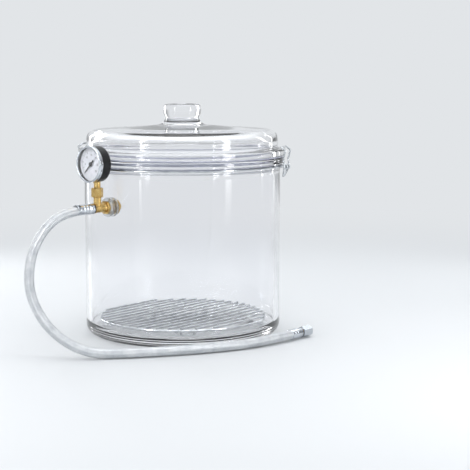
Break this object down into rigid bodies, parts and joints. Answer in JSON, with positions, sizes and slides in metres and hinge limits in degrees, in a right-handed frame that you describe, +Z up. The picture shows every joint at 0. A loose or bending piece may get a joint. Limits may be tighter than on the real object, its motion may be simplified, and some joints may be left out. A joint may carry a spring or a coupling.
{
  "type": "vacuum chamber",
  "caption": "Glass vacuum chamber with a domed lift-off lid, side gauge on a tee, braided hose and wire rack inside.",
  "frame": {"origin": "on the chamber's axis, at the middle of its foot, on the surface it stands on", "axes": "+Z up the chamber's axis to the lid's knob, the gauge port to the left of -Y, which is the front"},
  "size_m": [0.3895, 0.347, 0.3285],
  "materials": {
    "vessel_glass": "clear, polished",
    "lid_glass": "clear, polished",
    "silicone": "translucent, satin",
    "stainless_wire": "polished wire",
    "clear_washer": "translucent, satin",
    "brass": "bright machined",
    "black_rubber": "matte",
    "gauge_case": "satin black",
    "chrome": "polished",
    "gauge_glass": "clear",
    "gauge_dial": "matte printed",
    "gauge_pointer": "matte black",
    "bourdon_bronze": "dull bronze",
    "steel_braid": "woven braid",
    "rack_wire": "bright plated wire"
  },
  "bodies": {
    "chamber": {"vessel": "vessel_glass", "lid_gasket": "silicone", "neck_ring": "stainless_wire", "port_washer_outer": "clear_washer", "port_washer_inner": "clear_washer", "port_nipple": "brass", "port_nut": "brass", "tee": "brass", "tee_seal_ring": "black_rubber", "gauge_coupler": "brass", "gauge_socket": "brass", "gauge_case": "gauge_case", "gauge_bezel": "chrome", "gauge_lens": "gauge_glass", "gauge_dial": "gauge_dial", "gauge_movement": "brass", "bourdon_tube": "bourdon_bronze", "hose_tail_near": "brass", "hose_ferrule_near": "chrome", "hose": "steel_braid", "hose_ferrule_far": "chrome", "hose_collar_far": "chrome", "hose_tail_far": "brass", "rack_rim": "rack_wire", "rack_bars": "rack_wire", "rack_feet": "rack_wire"},
    "lid": {"lid": "lid_glass"},
    "clasp_right": {"clasp_right": "stainless_wire"},
    "clasp_left": {"clasp_left": "stainless_wire"},
    "gauge_pointer": {"gauge_pointer": "gauge_pointer"},
    "hose_swivel_nut": {"hose_swivel_nut": "brass"}
  },
  "joints": [
    {"name": "lid_lift", "type": "slide", "parent": "chamber", "child": "lid", "axis": [0, 0, 1], "range_m": [0, 0.12]},
    {"name": "clasp_right_swing", "type": "hinge", "parent": "chamber", "child": "clasp_right", "pos_m": [0.14593, -0.05312, 0.2414], "axis": [0.342, 0.9397, 0], "range_deg": [-14, 35]},
    {"name": "clasp_left_swing", "type": "hinge", "parent": "chamber", "child": "clasp_left", "pos_m": [-0.14593, 0.05312, 0.2414], "axis": [-0.342, -0.9397, 0], "range_deg": [-14, 35]},
    {"name": "pointer_turn", "type": "hinge", "parent": "chamber", "child": "gauge_pointer", "pos_m": [-0.12186, -0.11768, 0.25], "axis": [0.7193, 0.6947, 0], "range_deg": [0, 270], "stiffness_Nm_per_rad": 0.00002},
    {"name": "hose_nut_turn", "type": "hinge", "parent": "chamber", "child": "hose_swivel_nut", "pos_m": [0.16617, -0.06761, 0.0084], "axis": [0.6961, 0.7179, 0], "continuous": true}
  ]
}
